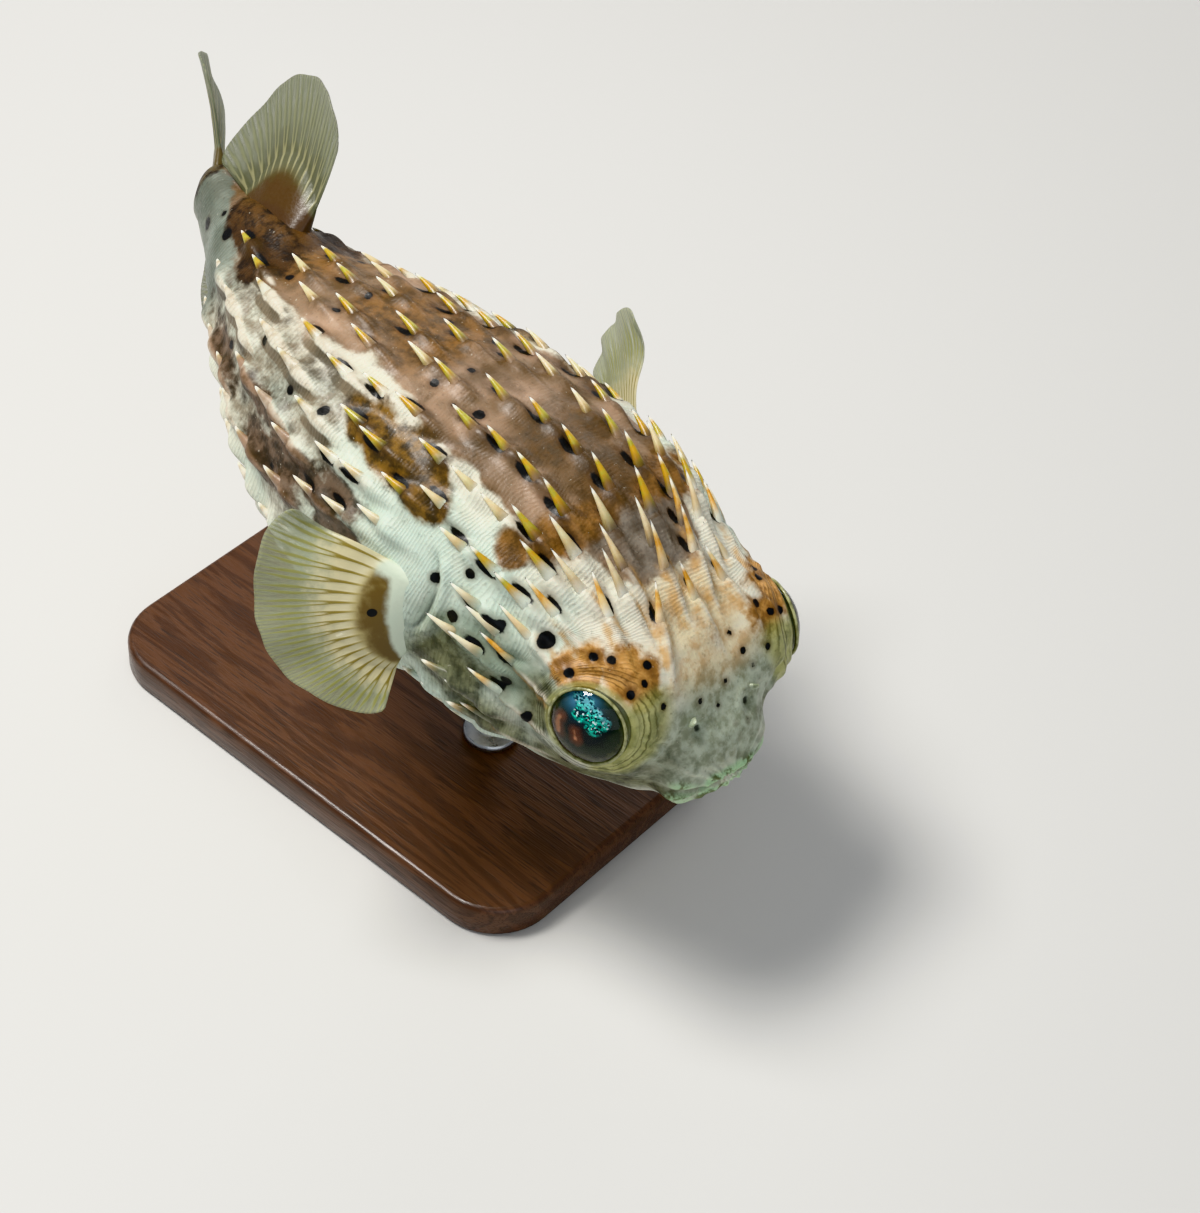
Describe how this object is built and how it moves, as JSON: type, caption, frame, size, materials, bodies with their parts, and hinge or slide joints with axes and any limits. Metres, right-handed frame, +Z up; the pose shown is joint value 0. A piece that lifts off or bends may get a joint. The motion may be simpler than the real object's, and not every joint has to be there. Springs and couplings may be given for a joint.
{
  "type": "porcupine pufferfish model",
  "caption": "Life-size long-spine porcupine pufferfish, not inflated, swimming nose down with its tail swung to its left, held on a flat wooden base by two steel rods.",
  "frame": {"origin": "centre of the underside of the display base", "axes": "+X along the fish's length towards its snout, +Y towards its left side, +Z up"},
  "size_m": [0.2162, 0.1191, 0.1393],
  "materials": {
    "skin": "moist fine-ridged skin, white to brown with black spots",
    "spine": "smooth bone-like spines, golden to ivory",
    "eye": "clear wet cornea over a dark iris",
    "fin": "thin translucent membrane with rays",
    "base_wood": "dark satin wood",
    "rod_steel": "satin steel"
  },
  "bodies": {
    "root": {"head": "skin", "trunk": "skin", "tail": "skin", "eye_right": "eye", "eye_left": "eye", "nostril_right": "skin", "nostril_left": "skin", "pectoral_fin_right": "fin", "pectoral_fin_left": "fin", "dorsal_fin": "fin", "anal_fin": "fin", "caudal_fin": "fin", "stand_base": "base_wood", "stand_rod_front": "rod_steel", "stand_rod_rear": "rod_steel"}
  },
  "joints": []
}
